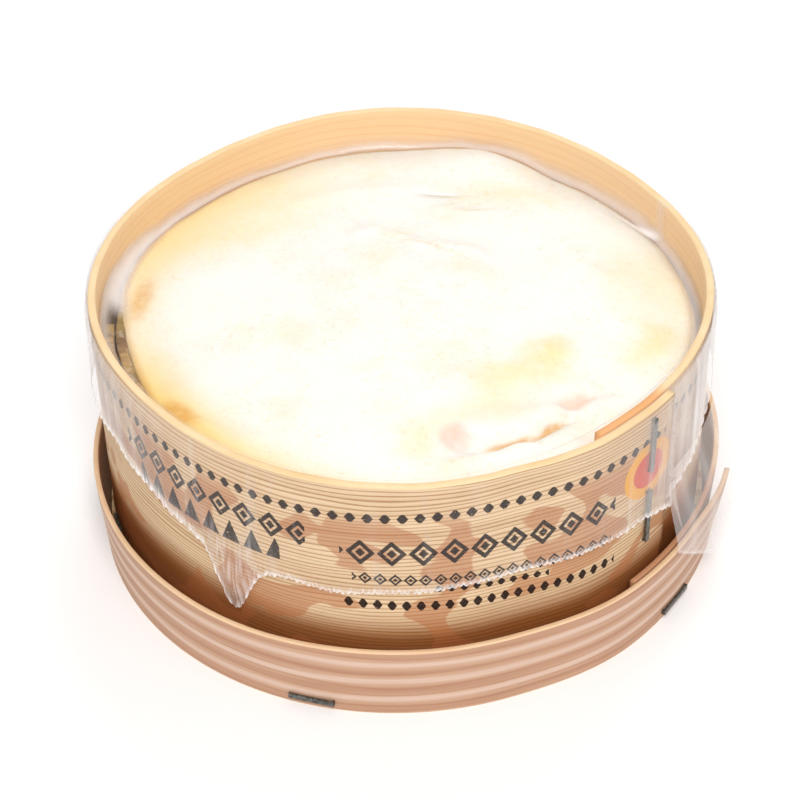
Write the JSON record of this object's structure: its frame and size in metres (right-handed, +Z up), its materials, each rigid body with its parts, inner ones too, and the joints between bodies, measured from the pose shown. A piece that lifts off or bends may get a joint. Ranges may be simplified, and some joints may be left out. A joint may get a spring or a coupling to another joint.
{
  "type": "cheese wheel",
  "caption": "Soft washed-rind cheese wheel with a bark strap, in a round spruce-veneer box that stands in its upturned lid under clear film.",
  "frame": {"origin": "middle of the underside of the lid's disc, which rests on the table", "axes": "+Z up through the cheese, -Y towards the side that is seen in front, +X to the right of it"},
  "size_m": [0.1427, 0.143, 0.062],
  "materials": {
    "cheese_rind": "soft, moist, wrinkled cream rind",
    "spruce_bark": "rough fibrous bark",
    "spruce_veneer": "sawn, fine straight grain, printed in brown",
    "spruce_disc": "sawn",
    "lid_veneer": "smooth peeled veneer, broad tan grain",
    "clear_film": "clear, glossy, crinkled",
    "staple_steel": "dull galvanised wire"
  },
  "bodies": {
    "root": {"lid_disc": "spruce_disc", "lid_band": "lid_veneer", "lid_staple_1": "staple_steel", "lid_staple_2": "staple_steel", "lid_staple_3": "staple_steel", "lid_staple_4": "staple_steel", "lid_staple_5": "staple_steel", "box_bottom": "spruce_disc", "box_band": "spruce_veneer", "box_lap_staple_1": "staple_steel", "box_lap_staple_2": "staple_steel", "box_bottom_staple_1": "staple_steel", "box_bottom_staple_2": "staple_steel", "box_bottom_staple_3": "staple_steel", "box_bottom_staple_4": "staple_steel", "box_bottom_staple_5": "staple_steel", "bark_strap": "spruce_bark", "cheese_wheel": "cheese_rind", "film": "clear_film"}
  },
  "joints": []
}
